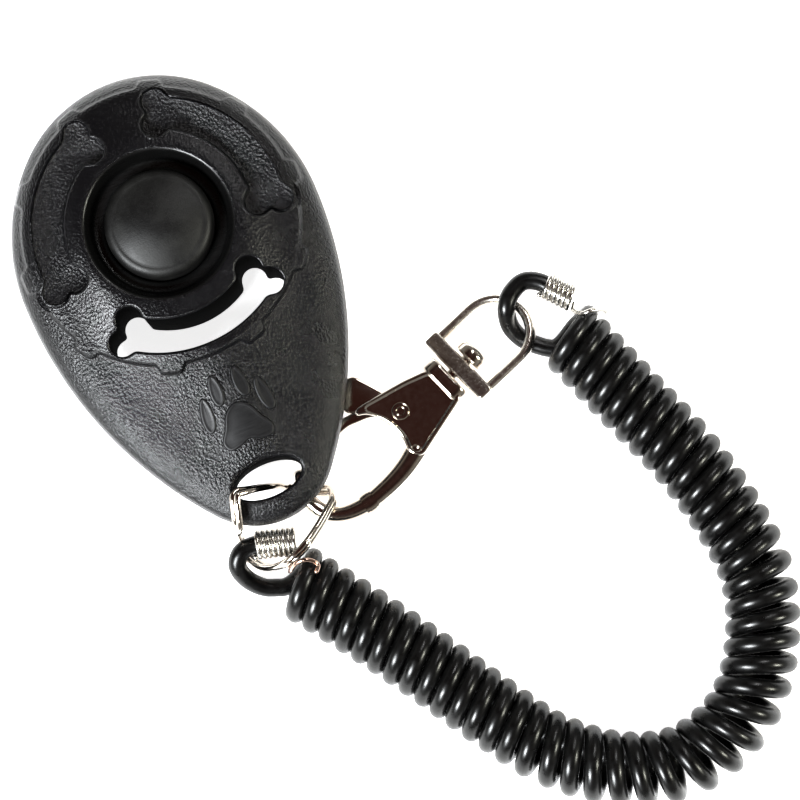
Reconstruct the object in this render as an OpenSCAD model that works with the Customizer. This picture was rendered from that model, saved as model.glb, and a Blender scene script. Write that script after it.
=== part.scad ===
// Dog-training clicker: a teardrop case with a dome button and a steel click plate,
// a wire key ring through the tail, and a coiled wrist strap that ends in a swivel clasp.
// Millimetres. The back of the case rests on z = 0, +Z points out of the face, +Y to the round head.

/* [Case] */
// Radius of the round head of the outline
head_r = 19.3; // [18.5:0.1:20]
// Half of the case's greatest width
half_w = 21.3; // [20.8:0.1:22]
// Radius of the shoulders between the head and the widest point
shoulder_r = 25.8; // [25:0.1:27]
// Radius of the rounded tail
tail_r = 10.8; // [10.4:0.1:11.2]
// Half of the case's length, from head to tail
half_len = 32.0; // [31.5:0.1:32.5]
// Height of the line where the two shells meet
part_z = 7.0; // [6.8:0.1:7.2]
// Height of the crown under the raised disc
crown_z = 14.4; // [14.2:0.1:14.8]
// Thickness of the shell walls
wall = 1.7; // [1.4:0.1:2]

/* [Face] */
// Radius of the raised disc round the button
disc_r = 18.8; // [18.7:0.1:19.2]
// Height of the raised disc over the face
disc_step = 0.8; // [0.5:0.1:1]
// Number of bumps round the disc
bump_count = 10; // [8:1:12]
// Radius of the bone-shaped slots' centre line
bone_ring_r = 15.1; // [15:0.1:15.3]
// Half of the slots' width
bone_half = 2.15; // [2.1:0.05:2.3]
// Half of the angle that each slot spans
bone_sweep = 40; // [36:1:41]

/* [Button] */
// Radius of the button's cap
button_r = 7.35; // [7.2:0.05:7.45]
// Top of the button's dome
button_top = 16.8; // [16.5:0.1:17.2]
// Depth that the button travels when it clicks
button_travel = 2.0; // [1.6:0.1:2.2]

/* [Lanyard hole] */
// Half of the hole's width across the tail
hole_rx = 4.8; // [4.6:0.1:4.9]
// Half of the hole's length along the tail
hole_ry = 2.4; // [2.3:0.05:2.45]

/* [Strap] */
// Outer diameter of the coil
coil_d = 10.3; // [10:0.1:10.4]
// Diameter of the strap's cord
cord_d = 2.5; // [2.3:0.1:2.6]

/* [Clasp] */
// Direction of the clasp's axis from +X towards +Y
clasp_angle = 20.5; // [20:0.5:21]
// Height of the swivel's axis
swivel_z = 2.6; // [2.5:0.05:2.7]

/* [Hidden] */
$fn = 48;
hair = 0.02;                               // thickness of a slice inside a hull
cut = 1;                                   // how far a cutter runs past a face

// Outline centres
head_y = half_len - head_r;
tail_y = tail_r - half_len;
wide_y = 8.0;                              // where the case is widest
flank_r = (half_w * half_w + (wide_y - tail_y) * (wide_y - tail_y) - tail_r * tail_r)
    / (2 * (half_w - tail_r));
head_angle = atan2(head_y - wide_y, shoulder_r - half_w);
flank_angle = atan2(wide_y - tail_y, flank_r - half_w);
arc_steps = 14;

// Button and its recess
button_y = 10.6;
button_clear = 0.15;
recess_r = 10;
recess_floor_r = 9.1;
recess_z = 12;
recess_under = 10.5;
flange_r = 8.7;
flange_z = 9.1;
flange_gap = 0.1;
stem_r = 2.4;
dome_r = 30;
edge_r = 1.3;                              // rounding of the cap's edge

// Click plate, its clamp and the screws
plate_w = 11;
plate_y0 = 2.4;
plate_len = 25;
plate_t = 0.3;
plate_z = 6;
clamp_len = 5.5;
clamp_t = 1.2;
clamp_screw_x = 3.2;
clamp_y = plate_y0 + plate_len - clamp_len / 2;
screw_r = 1.05;
screw_head_r = 1.9;
screw_head_t = 1.2;
boss_r = 2.5;
case_screw_len = 5.6;
case_screw_sites = [[-15, 16, 3.4], [15, 16, 3.4], [0, -16.2, 4.6]];

// Lanyard hole
hole_y = -26.2;
hole_wall = 1.3;

// Slices of the shells: height at the head end, droop towards the tail in degrees, inset
hinge_y = 25;
front_slices = [[9.0, 0.6, 0.35], [10.9, 1.8, 1.5], [12.4, 2.8, 3.4], [13.4, 3.3, 6.4]];
back_slices = [[5.8, 0, 0.6], [5.0, 0, 1.8]];
back_discs = [[1.8, 17.5], [0.5, 15.5], [0, 14]];
crown_r = 10;
bone_floor = 13.1;
bone_lobe_r = 1.75;
bone_lobe_off = 1.6;

// Cord and ring routes: hand-set points
coil_r = coil_d / 2;
coil_route = [
    [-1.2, -41.2], [4.9, -49.8], [10.4, -58.3], [15.6, -66.8], [21.0, -74.5], [28.5, -80.5],
    [37.1, -82.8], [45.8, -80.0], [51.9, -73.3], [55.4, -64.3], [55.2, -55.5], [53.0, -45.4],
    [49.3, -35.4], [45.3, -24.8]
];
lower_route = [
    [-0.6, -41.9, 1.3], [-2.6, -41.0, 1.3], [-4.4, -39.9, 1.3], [-6.4, -39.0, 1.6], [-8.0, -37.2, 2.8],
    [-8.5, -35.2, 4.4], [-7.4, -33.7, 5.2], [-5.5, -33.4, 5.2], [-2.6, -34.2, 5.2]
];
upper_route = [
    [44.2, -25.6, 1.3], [42.2, -24.3, 1.3], [40.4, -22.9, 1.3], [39.0, -21.3, 1.4], [38.3, -19.3, 2.4],
    [38.7, -17.1, 4.1], [40.1, -15.5, 4.4], [42.2, -14.7, 4.4], [44.2, -15.6, 4.4], [46.0, -17.7, 4.4]
];
lower_ferrule_ends = [[-4.9, -33.5, 5.2], [0.2, -35.2, 5.2]];
upper_ferrule_ends = [[44.5, -15.9, 4.4], [47.6, -19.6, 4.4]];
lower_ferrule_r = 2.05;
upper_ferrule_r = 1.95;
ring_route = [
    [-4.6, -26.5, 11.2], [-3.0, -26.6, 10.2], [-0.8, -26.9, 7.4], [1.0, -27.3, 4.2], [2.2, -28.0, 1.6],
    [3.8, -29.0, 0.85], [5.8, -29.8, 0.85], [7.1, -30.7, 1.9], [7.0, -31.8, 4.3], [5.6, -33.1, 5.6],
    [3.6, -34.7, 6.8], [1.2, -36.3, 8.1], [-1.6, -37.4, 7.6], [-4.2, -37.1, 4.2], [-5.9, -35.9, 2.2],
    [-6.8, -34.2, 1.5], [-6.8, -32.5, 1.8], [-6.7, -31.2, 3.2], [-6.7, -30.9, 5.2], [-6.6, -30.85, 7.6],
    [-6.2, -30.6, 9.6], [-5.7, -29.2, 10.6], [-5.2, -27.6, 11.2]
];
ring_tube_r = 0.8;
tie_wire_r = 0.3;
lower_tie = [
    [-1.6, -36.1, 3.9], [-1.0, -37.5, 4.8], [0.2, -38.3, 7.6], [1.4, -38.8, 9.8], [2.6, -39.4, 9.2]
];
upper_tie = [
    [47.4, -20.2, 4.6], [46.8, -21.2, 6.4], [47.6, -22.2, 9.0], [49.0, -22.4, 9.6], [50.4, -22.6, 7.6],
    [50.9, -23.0, 5.6]
];

// Clasp, in its own frame: x along the axis towards the strap, y to the gate's side
clasp_at = [27.5, -22.75, 0];
arm_z = 3.0;
arm_r = 0.9;
arm_route = [
    [-9.6, -4.6], [-12.6, -5.5], [-16.4, -5.6], [-19.8, -4.9], [-22.6, -3.7], [-24.4, -1.8],
    [-24.9, 0.6], [-24.3, 2.8], [-23.4, 4.2]
];
band_at = [-15.8, -5.65];
band_r = 1.25;
body_low = 0.5;
body_top = 4.4;
cheek_t = 1.15;
body_outline = [
    [-1, 2.7], [-4.6, 3.9], [-11.8, 5.6], [-12.6, 4.8], [-11.2, 4.0], [-10.4, 2.6], [-9.9, 0.6],
    [-9.9, -1.6], [-10.8, -4.0], [-9.6, -5.5], [-7.6, -5.0], [0, -3.2]
];
pocket_outline = [
    [-3.0, 1.9], [-5.4, 6.4], [-14, 8], [-14, -1.9], [-5.4, -2.6], [-3.0, -1.4]
];
rivet_at = [-7.6, 1.1];
rivet_r = 0.8;
rivet_head_r = 1.15;
rivet_head_t = 0.25;
rivet_clear = 0.05;
gate_low = 1.8;
gate_t = 1.4;
gate_hub_r = 1.8;
gate_arm = [[-7.6, 2.6], [-11.6, 4.7], [-14.4, 5.6], [-22.2, 6.0], [-22.5, 4.5], [-14.2, 3.6], [-8.4, -0.4]];
gate_tab = [[-6.6, 2.4], [-8.9, 9.4], [-11.0, 9.7], [-10.6, 7.0], [-9.6, 3.4]];
spring_r = 0.55;
collar_half = 3.7;
collar_tall = 2.1;
eye_half = 5.0;
eye_wire_r = 0.75;
eye_bar_x = 2.5;
eye_bar_t = 1.8;
eye_bar_half_z = 1.25;
eye_arc_x = 8.9;
eye_tilt = 14;
stud_r = 0.9;
stud_clear = 0.06;
stud_head_x = 4.1;
stud_head_t = 1.5;
stud_head_r = 1.9;

// ---- outline and curve functions ----
function arc(c, r, a0, a1, n) =
    [for (i = [0:n - 1]) [c[0] + r * cos(a0 + (a1 - a0) * i / n), c[1] + r * sin(a0 + (a1 - a0) * i / n)]];

function outline(inset) = concat(
    arc([half_w - shoulder_r, wide_y], shoulder_r - inset, 0, head_angle, arc_steps),
    arc([0, head_y], head_r - inset, head_angle, 180 - head_angle, arc_steps),
    arc([shoulder_r - half_w, wide_y], shoulder_r - inset, 180 - head_angle, 180, arc_steps),
    arc([flank_r - half_w, wide_y], flank_r - inset, 180, 180 + flank_angle, arc_steps),
    arc([0, tail_y], tail_r - inset, 180 + flank_angle, 360 - flank_angle, arc_steps),
    arc([half_w - flank_r, wide_y], flank_r - inset, 360 - flank_angle, 360, arc_steps));

function unit(v) = v / norm(v);
function bend(p0, p1, p2, p3, t) = 0.5 * (2 * p1 + (p2 - p0) * t
    + (2 * p0 - 5 * p1 + 4 * p2 - p3) * t * t + (3 * p1 - p0 - 3 * p2 + p3) * t * t * t);

// A smooth curve through the points, open or closed, with m steps between them
function open_curve(p, m) = let (n = len(p), q = concat([2 * p[0] - p[1]], p, [2 * p[n - 1] - p[n - 2]]))
    concat([for (i = [1:n - 1]) for (k = [0:m - 1]) bend(q[i - 1], q[i], q[i + 1], q[i + 2], k / m)],
        [p[n - 1]]);
function closed_curve(p, m) = let (n = len(p))
    [for (i = [0:n - 1]) for (k = [0:m - 1])
        bend(p[(i + n - 1) % n], p[i], p[(i + 1) % n], p[(i + 2) % n], k / m)];

// One ring of a tube's points at c, square to the direction t
function hoop(c, t, r, sides) = let (side = unit(cross(t, [0, 0, 1])), up = cross(side, t))
    [for (k = [0:sides - 1]) c + r * (cos(360 * k / sides) * side + sin(360 * k / sides) * up)];

module open_tube(p, r, sides) {
    n = len(p);
    rings = [for (i = [0:n - 1]) each hoop(p[i], unit(p[min(i + 1, n - 1)] - p[max(i - 1, 0)]), r, sides)];
    walls = [for (i = [0:n - 2]) for (k = [0:sides - 1]) let (a = i * sides, b = (k + 1) % sides)
        [a + k, a + b, a + sides + b, a + sides + k]];
    first = [for (k = [0:sides - 1]) sides - 1 - k];
    last = [for (k = [0:sides - 1]) (n - 1) * sides + k];
    polyhedron(rings, concat(walls, [first], [last]), 8);
}

module closed_tube(p, r, sides) {
    n = len(p);
    rings = [for (i = [0:n - 1]) each hoop(p[i], unit(p[(i + 1) % n] - p[(i + n - 1) % n]), r, sides)];
    walls = [for (i = [0:n - 1]) for (k = [0:sides - 1])
        let (a = i * sides, b = (k + 1) % sides, c = ((i + 1) % n) * sides) [a + k, a + b, c + b, c + k]];
    polyhedron(rings, walls, 8);
}

// A cylinder from one point to another, with an optional bore
module rod(ends, r, bore = 0) {
    along = ends[1] - ends[0];
    translate(ends[0])
        rotate([0, acos(along[2] / norm(along)), atan2(along[1], along[0])])
            difference() {
                cylinder(h = norm(along), r = r);
                if (bore > 0) translate([0, 0, -cut]) cylinder(h = norm(along) + 2 * cut, r = bore);
            }
}

// ---- case ----
module slice(z, droop, inset) {
    translate([0, hinge_y, z])
        rotate([droop, 0, 0])
            translate([0, -hinge_y, 0])
                linear_extrude(hair) polygon(outline(inset));
}

module crown(z, r) {
    translate([0, button_y, z]) cylinder(h = hair, r = r);
}

module front_form(lift) {
    translate([0, 0, lift]) hull() {
        translate([0, 0, part_z]) linear_extrude(hair) polygon(outline(0));
        for (s = front_slices) slice(s[0], s[1], s[2]);
        crown(crown_z, crown_r);
    }
}

module front_cavity() {
    hull() {
        translate([0, 0, part_z - hair]) linear_extrude(hair) polygon(outline(wall));
        for (s = [front_slices[0], front_slices[1], front_slices[2]]) slice(s[0] - wall, s[1], s[2] + wall);
        crown(crown_z - wall, crown_r);
    }
}

module back_form(shrink, lift) {
    hull() {
        translate([0, 0, part_z - hair + lift / 10]) linear_extrude(hair) polygon(outline(shrink));
        for (s = back_slices) slice(s[0] + lift, s[1], s[2] + shrink);
        for (d = back_discs) translate([0, button_y, d[0] + lift]) cylinder(h = hair, r = d[1] - shrink / 2);
    }
}

// The bone: an arc with two lobes at each end, grown by some margin
module bone(grow) {
    lobe_r = bone_lobe_r + grow;
    reach = 2 * bone_ring_r;
    intersection() {
        difference() {
            circle(r = bone_ring_r + bone_half + grow);
            circle(r = bone_ring_r - bone_half - grow);
        }
        polygon([[0, 0], [reach * cos(bone_sweep), -reach * sin(bone_sweep)], [reach, 0],
            [reach * cos(bone_sweep), reach * sin(bone_sweep)]]);
    }
    for (side = [-1, 1]) for (off = [-bone_lobe_off, bone_lobe_off])
        rotate(side * bone_sweep) translate([bone_ring_r + off, 0]) circle(r = lobe_r);
}

module bone_block(facing, z, h, grow) {
    translate([0, button_y, z]) rotate(facing) linear_extrude(h) bone(grow);
}

module lanyard_block(z, h, grow) {
    translate([0, hole_y, z])
        linear_extrude(h)
            polygon([for (i = [0:47]) [(hole_rx + grow) * cos(i * 7.5), (hole_ry + grow) * sin(i * 7.5)]]);
}

module bumps() {
    for (i = [0:bump_count - 1])
        rotate(270 + (i + 0.5) * 360 / bump_count) translate([disc_r - 0.3, 0]) circle(r = 1.5);
}

module front_solid() {
    difference() {
        union() {
            front_form(0);
            intersection() {
                front_form(disc_step);
                translate([0, button_y, part_z + 3]) linear_extrude(2 * part_z) union() {
                    circle(r = disc_r);
                    bumps();
                }
            }
        }
        front_cavity();
    }
}

module front_bosses() {
    translate([0, button_y, recess_under]) cylinder(h = crown_z - recess_under, r = recess_r + 1.2);
    for (facing = [30, 150]) bone_block(facing, bone_floor - 1.2, 1.6, 1);
    for (s = case_screw_sites) translate([s[0], s[1], part_z]) cylinder(h = crown_z, r = boss_r);
    bone_block(270, part_z, crown_z, 1.2);
    lanyard_block(part_z, crown_z, hole_wall);
}

module paw() {
    translate([0, -18.4, part_z]) {
        linear_extrude(crown_z) circle(r = 2.4);
        for (toe = [[-4.2, 3.2], [-1.7, 5.3], [1.7, 5.3], [4.2, 3.2]])
            translate(toe) cylinder(h = crown_z, r = 1.1);
    }
}

module front_shell() {
    color("#141416") difference() {
        union() {
            front_solid();
            intersection() {
                front_bosses();
                front_form(0);
            }
            intersection() {
                paw();
                front_form(0.25);
                difference() {
                    translate([0, -18, part_z + 2]) cylinder(h = crown_z, r = 10);
                    front_form(-wall / 2);
                }
            }
        }
        translate([0, button_y, recess_z])
            cylinder(h = crown_z + disc_step - recess_z + hair, r1 = recess_floor_r, r2 = recess_r);
        translate([0, button_y, recess_under - cut])
            cylinder(h = crown_z, r = button_r + button_clear);
        for (facing = [30, 150]) bone_block(facing, bone_floor, crown_z, 0);
        bone_block(270, part_z - cut, 2 * crown_z, 0);
        lanyard_block(part_z - cut, crown_z, 0);
        for (s = case_screw_sites)
            translate([s[0], s[1], part_z - cut]) cylinder(h = s[2] + case_screw_len - part_z + cut, r = screw_r);
    }
}

module back_bosses() {
    for (s = case_screw_sites) translate([s[0], s[1], 0]) cylinder(h = part_z, r = boss_r + 0.4);
    translate([-plate_w / 2, clamp_y - clamp_len / 2, 0]) cube([plate_w, clamp_len, plate_z]);
    translate([-plate_w / 2, plate_y0, 0]) cube([plate_w, 1.5, plate_z]);
    bone_block(270, 0, part_z, 1.2);
    lanyard_block(0, part_z, hole_wall);
}

module back_shell() {
    color("#121214") difference() {
        union() {
            difference() {
                back_form(0, 0);
                back_form(wall, wall);
            }
            intersection() {
                back_bosses();
                back_form(0, 0);
            }
        }
        bone_block(270, -cut, part_z + 2 * cut, 0);
        lanyard_block(-cut, part_z + 2 * cut, 0);
        for (s = case_screw_sites) {
            translate([s[0], s[1], -cut]) cylinder(h = s[2] + cut, r = screw_head_r + 0.2);
            translate([s[0], s[1], -cut]) cylinder(h = part_z + 2 * cut, r = screw_r + 0.1);
        }
        for (side = [-1, 1])
            translate([side * clamp_screw_x, clamp_y, wall + 0.6]) cylinder(h = part_z, r = screw_r);
    }
}

// ---- button and click plate ----
module button() {
    edge_z = button_top - dome_r + sqrt(dome_r * dome_r - button_r * button_r) - 0.4;
    rim = button_r - edge_r;
    skirt = recess_under - flange_gap;
    color("#1b1b1d") translate([0, button_y, 0]) rotate_extrude($fn = 72) polygon(concat(
        [[0, plate_z + plate_t], [stem_r, plate_z + plate_t], [stem_r, flange_z], [flange_r, flange_z],
            [flange_r, skirt], [button_r, skirt]],
        [for (i = [0:6]) [rim + edge_r * cos(i * 15), edge_z - edge_r + edge_r * sin(i * 15)]],
        [for (i = [1:6]) let (x = rim * (1 - i / 6))
            [x, button_top - (button_top - edge_z) * x * x / (rim * rim)]]));
}

module click_plate() {
    color("silver") difference() {
        union() {
            translate([-plate_w / 2, plate_y0, plate_z]) cube([plate_w, plate_len, plate_t]);
            translate([0, button_y, plate_z - 0.5]) cylinder(h = 0.5, r1 = 2, r2 = 3.2);
        }
        for (side = [-1, 1])
            translate([side * clamp_screw_x, clamp_y, plate_z - cut]) cylinder(h = 2 * cut, r = screw_r + 0.1);
    }
}

module plate_clamp() {
    color("#1a1a1c") difference() {
        translate([-plate_w / 2, clamp_y - clamp_len / 2, plate_z + plate_t])
            cube([plate_w, clamp_len, clamp_t]);
        for (side = [-1, 1])
            translate([side * clamp_screw_x, clamp_y, plate_z]) cylinder(h = 2 * clamp_t, r = screw_r + 0.1);
    }
}

// A screw with its head's seat at z = 0, the shank going up
module screw(len) {
    difference() {
        union() {
            translate([0, 0, -screw_head_t]) cylinder(h = screw_head_t, r = screw_head_r);
            cylinder(h = len, r = screw_r);
        }
        for (turn = [0, 90])
            rotate(turn) translate([-1.2, -0.25, -screw_head_t - cut]) cube([2.4, 0.5, cut + 0.6]);
    }
}

module clamp_screws() {
    seat = plate_z + plate_t + clamp_t;
    color("silver") for (side = [-1, 1])
        translate([side * clamp_screw_x, clamp_y, seat]) rotate([180, 0, 0]) screw(seat - wall - 0.6);
}

module case_screws() {
    color("silver") for (s = case_screw_sites) translate(s) screw(case_screw_len);
}

// ---- key ring and strap ----
module key_ring() {
    color("silver") closed_tube(closed_curve(ring_route, 2), ring_tube_r, 8);
}

module coil_strap() {
    route = open_curve([for (p = coil_route) [p[0], p[1], coil_r]], 3);
    color("#0c0c0d") open_tube(route, coil_r, 12);
}

module end_loop(route) {
    color("#0c0c0d") open_tube(open_curve(route, 2), cord_d / 2, 8);
}

module lower_end_loop() end_loop(lower_route);
module upper_end_loop() end_loop(upper_route);

module lower_ferrule() {
    color("silver") rod(lower_ferrule_ends, lower_ferrule_r, cord_d / 2);
}

module upper_ferrule() {
    color("silver") rod(upper_ferrule_ends, upper_ferrule_r, cord_d / 2);
}

module lower_tie_wire() {
    color("silver") open_tube(open_curve(lower_tie, 2), tie_wire_r, 6);
}

module upper_tie_wire() {
    color("silver") open_tube(open_curve(upper_tie, 2), tie_wire_r, 6);
}

// ---- clasp ----
module in_clasp(z) {
    translate([clasp_at[0], clasp_at[1], z]) rotate(clasp_angle) children();
}

module swivel_eye() {
    color("silver") in_clasp(swivel_z) rotate([-eye_tilt, 0, 0]) {
        difference() {
            translate([eye_bar_x - eye_bar_t / 2, -eye_half - eye_wire_r, -eye_bar_half_z])
                cube([eye_bar_t, 2 * (eye_half + eye_wire_r), 2 * eye_bar_half_z]);
            rotate([0, 90, 0]) cylinder(h = 2 * eye_bar_x, r = stud_r + stud_clear);
        }
        for (side = [-1, 1])
            translate([eye_bar_x, side * eye_half, 0]) rotate([0, 90, 0])
                cylinder(h = eye_arc_x - eye_bar_x, r = eye_wire_r);
        translate([eye_arc_x, 0, 0]) rotate(-90) rotate_extrude(angle = 180)
            translate([eye_half, 0]) circle(r = eye_wire_r, $fn = 24);
    }
}

module swivel_stud() {
    color("silver") in_clasp(swivel_z) rotate([0, 90, 0]) {
        cylinder(h = stud_head_x, r = stud_r);
        translate([0, 0, stud_head_x]) cylinder(h = stud_head_t, r = stud_head_r);
    }
}

module clasp_body() {
    color("silver") in_clasp(0) {
        difference() {
            translate([0, 0, body_low]) linear_extrude(body_top - body_low) polygon(body_outline);
            translate([0, 0, body_low + cheek_t])
                linear_extrude(body_top - body_low - 2 * cheek_t) polygon(pocket_outline);
            translate([rivet_at[0], rivet_at[1], -cut]) cylinder(h = 3 * body_top, r = rivet_r);
            translate([-cut, 0, swivel_z]) rotate([0, 90, 0]) cylinder(h = 3, r = stud_r);
        }
        difference() {
            translate([-1.5, 0, swivel_z]) rotate([0, 90, 0]) linear_extrude(2.2) union() {
                square([2 * collar_tall, 2 * (collar_half - collar_tall)], center = true);
                for (side = [-1, 1]) translate([0, side * (collar_half - collar_tall)]) circle(r = collar_tall);
            }
            translate([-cut, 0, swivel_z]) rotate([0, 90, 0]) cylinder(h = 3, r = stud_r);
        }
        open_tube(open_curve([for (p = arm_route) [p[0], p[1], arm_z]], 2), arm_r, 10);
        translate([band_at[0] - 0.5, band_at[1], arm_z]) rotate([0, 90, 0]) cylinder(h = 1, r = band_r);
    }
}

module clasp_gate() {
    color("silver") in_clasp(gate_low) difference() {
        linear_extrude(gate_t) union() {
            translate(rivet_at) circle(r = gate_hub_r);
            polygon(gate_arm);
            polygon(gate_tab);
        }
        translate([rivet_at[0], rivet_at[1], -cut]) cylinder(h = 2 * body_top, r = rivet_r + rivet_clear);
    }
}

module gate_rivet() {
    color("silver") in_clasp(0) translate(rivet_at) difference() {
        union() {
            translate([0, 0, body_low]) cylinder(h = body_top - body_low, r = rivet_r);
            translate([0, 0, body_top]) cylinder(h = rivet_head_t, r = rivet_head_r);
        }
        translate([0, 0, body_top - 0.4]) cylinder(h = 1, r = rivet_r / 2);
    }
}

module gate_spring() {
    ends = [[rivet_at[0] + gate_hub_r + 0.05, 0.4, swivel_z], [-3.1, 0.4, swivel_z]];
    color("silver") in_clasp(0) rod(ends, spring_r);
}

front_shell();
back_shell();
button();
click_plate();
plate_clamp();
clamp_screws();
case_screws();
key_ring();
coil_strap();
lower_end_loop();
upper_end_loop();
lower_ferrule();
upper_ferrule();
lower_tie_wire();
upper_tie_wire();
swivel_eye();
swivel_stud();
clasp_body();
clasp_gate();
gate_rivet();
gate_spring();
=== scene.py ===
"""Looks of a clicker trainer: teardrop case, dome button, key ring, coiled wrist strap and swivel clasp.
Sizes are in millimetres, as in part.scad, and blender_mesh makes them metres. +Z is the button's side."""

import math

import bpy
import numpy as np
from mathutils import Matrix, Vector


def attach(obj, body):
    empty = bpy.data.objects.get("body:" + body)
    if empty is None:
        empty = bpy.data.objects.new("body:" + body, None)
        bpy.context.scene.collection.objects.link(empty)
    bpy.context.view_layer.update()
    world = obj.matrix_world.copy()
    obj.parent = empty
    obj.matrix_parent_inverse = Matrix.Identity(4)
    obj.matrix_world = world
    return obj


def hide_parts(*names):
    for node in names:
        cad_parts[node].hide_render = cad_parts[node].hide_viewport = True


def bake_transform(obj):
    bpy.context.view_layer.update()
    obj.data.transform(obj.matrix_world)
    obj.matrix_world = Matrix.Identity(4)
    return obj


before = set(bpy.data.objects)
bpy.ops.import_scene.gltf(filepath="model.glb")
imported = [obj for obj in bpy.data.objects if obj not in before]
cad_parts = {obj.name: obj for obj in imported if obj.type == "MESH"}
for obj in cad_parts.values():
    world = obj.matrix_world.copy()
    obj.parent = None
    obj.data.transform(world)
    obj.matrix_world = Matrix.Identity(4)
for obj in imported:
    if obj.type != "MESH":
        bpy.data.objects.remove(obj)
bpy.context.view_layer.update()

MM = 0.001
TAU = 2 * math.pi
UP = np.array([0.0, 0.0, 1.0])

# ---- case: the values of part.scad, apart from DISC_R and the shape of the bumps ----
HEAD_R, HALF_W, SHOULDER_R, TAIL_R, HALF_LEN = 19.3, 21.3, 25.8, 10.8, 32.0
HEAD_Y = HALF_LEN - HEAD_R
TAIL_Y = TAIL_R - HALF_LEN
WIDE_Y = 8.0
FLANK_R = (HALF_W ** 2 + (WIDE_Y - TAIL_Y) ** 2 - TAIL_R ** 2) / (2 * (HALF_W - TAIL_R))
HEAD_ANGLE = math.atan2(HEAD_Y - WIDE_Y, SHOULDER_R - HALF_W)
FLANK_ANGLE = math.atan2(WIDE_Y - TAIL_Y, FLANK_R - HALF_W)
PART_Z = 7.0
WALL = 1.7
BUTTON_Y = 10.6
HINGE_Y = 25.0
CROWN_R, CROWN_Z = 10.0, 14.4
FRONT_SLICES = [(13.4, 3.3, 6.4), (12.4, 2.8, 3.4), (10.9, 1.8, 1.5), (9.0, 0.6, 0.35)]
BACK_SLICES = [(5.8, 0.6), (5.0, 1.8)]
BACK_DISCS = [(1.8, 17.5), (0.5, 15.5), (0.0, 14.0)]
DISC_R, DISC_STEP, DISC_EDGE = 18.9, 0.8, 0.5
BUMP_COUNT, BUMP_OUT, BUMP_HALF = 10, 1.15, 1.5
BONE_R, BONE_HALF, BONE_FLOOR = 15.1, 2.15, 13.1
BONE_SWEEP = math.radians(40)
BAND_SWEEP = math.radians(34)
LOBE_R, LOBE_OFF = 1.75, 1.6
HOLE_Y, HOLE_RX, HOLE_RY = -26.2, 4.8, 2.4
SCREW_SITES = [(-15, 16, 3.4), (15, 16, 3.4), (0, -16.2, 4.6)]

# ---- strap, ring and clasp, as part.scad has them apart from what a comment names ----
CORD_R = 1.25
COIL_R = 3.9                                # to the middle of the cord
COIL_Z = 5.15
TURN_PITCH = 2.6                            # between the turns, where they touch
TURN_LEAN = 0.35
# The strap's routes are the points of part.scad, in metres. The coil's ends are up to 1.5 mm closer to the
# ferrules, and LOWER_ROUTE starts further inside its ferrule. Its last point and the first of UPPER_ROUTE
# follow the coil's ends, and only give a direction.
COIL_ROUTE = [
    (-0.00185, -0.0401), (0.0049, -0.0498), (0.0104, -0.0583), (0.0156, -0.0668), (0.021, -0.0745),
    (0.0285, -0.0805), (0.0371, -0.0828), (0.0458, -0.08), (0.0519, -0.0733), (0.0554, -0.0643),
    (0.0552, -0.0555), (0.053, -0.0454), (0.0493, -0.0354), (0.0448, -0.0234)]
LOWER_ROUTE = [
    (-0.0009, -0.0348, 0.0052), (-0.0026, -0.0342, 0.0052), (-0.0055, -0.0334, 0.0052),
    (-0.0074, -0.0337, 0.0052), (-0.0085, -0.0352, 0.0044), (-0.008, -0.0372, 0.0028),
    (-0.0064, -0.039, 0.0016), (-0.0044, -0.0399, 0.0013), (-0.0027, -0.0408, 0.0013)]
UPPER_ROUTE = [
    (0.0446, -0.0252, 0.0013), (0.0422, -0.0243, 0.0013), (0.0404, -0.0229, 0.0013),
    (0.039, -0.0213, 0.0014), (0.0383, -0.0193, 0.0024), (0.0387, -0.0171, 0.0041),
    (0.0401, -0.0155, 0.0044), (0.0422, -0.0147, 0.0044), (0.0442, -0.0156, 0.0044),
    (0.046, -0.0177, 0.0044)]
# Not as in part.scad: LOWER_FERRULE and LOWER_TIE follow the coil's end.
LOWER_FERRULE = [(-5.5, -33.3, 5.2), (0.3, -35.25, 5.2)]
UPPER_FERRULE = [(44.5, -15.9, 4.4), (47.6, -19.6, 4.4)]
RING_ROUTE = [
    (-4.6, -26.5, 11.2), (-3.0, -26.6, 10.2), (-0.8, -26.9, 7.4), (1.0, -27.3, 4.2), (2.2, -28.0, 1.6),
    (3.8, -29.0, 0.85), (5.8, -29.8, 0.85), (7.1, -30.7, 1.9), (7.0, -31.8, 4.3), (5.6, -33.1, 5.6),
    (3.6, -34.7, 6.8), (1.2, -36.3, 8.1), (-1.6, -37.4, 7.6), (-4.2, -37.1, 4.2), (-5.9, -35.9, 2.2),
    (-6.8, -34.2, 1.5), (-6.8, -32.5, 1.8), (-6.7, -31.2, 3.2), (-6.7, -30.9, 5.2), (-6.6, -30.85, 7.6),
    (-6.2, -30.6, 9.6), (-5.7, -29.2, 10.6), (-5.2, -27.6, 11.2)]
LOWER_TIE = [
    (-1.4, -36.2, 3.9), (-2.0, -38.0, 4.6), (-2.2, -38.6, 6.6), (-1.8, -38.6, 8.8), (-0.9, -38.2, 10.1),
    (0.3, -38.2, 10.6), (1.3, -38.8, 10.3), (1.7, -39.6, 10.0), (1.2, -40.3, 10.6)]
UPPER_TIE = [
    (47.4, -20.2, 4.6), (46.8, -21.2, 6.4), (47.6, -22.2, 9.0), (49.0, -22.4, 9.6), (50.4, -22.6, 7.6),
    (50.9, -23.0, 5.6)]
CLASP_AT = np.array([27.5, -22.75, 0.0])
CLASP_ANGLE = math.radians(20.5)
SWIVEL_Z = 2.6
ARM_Z = 3.0
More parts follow.
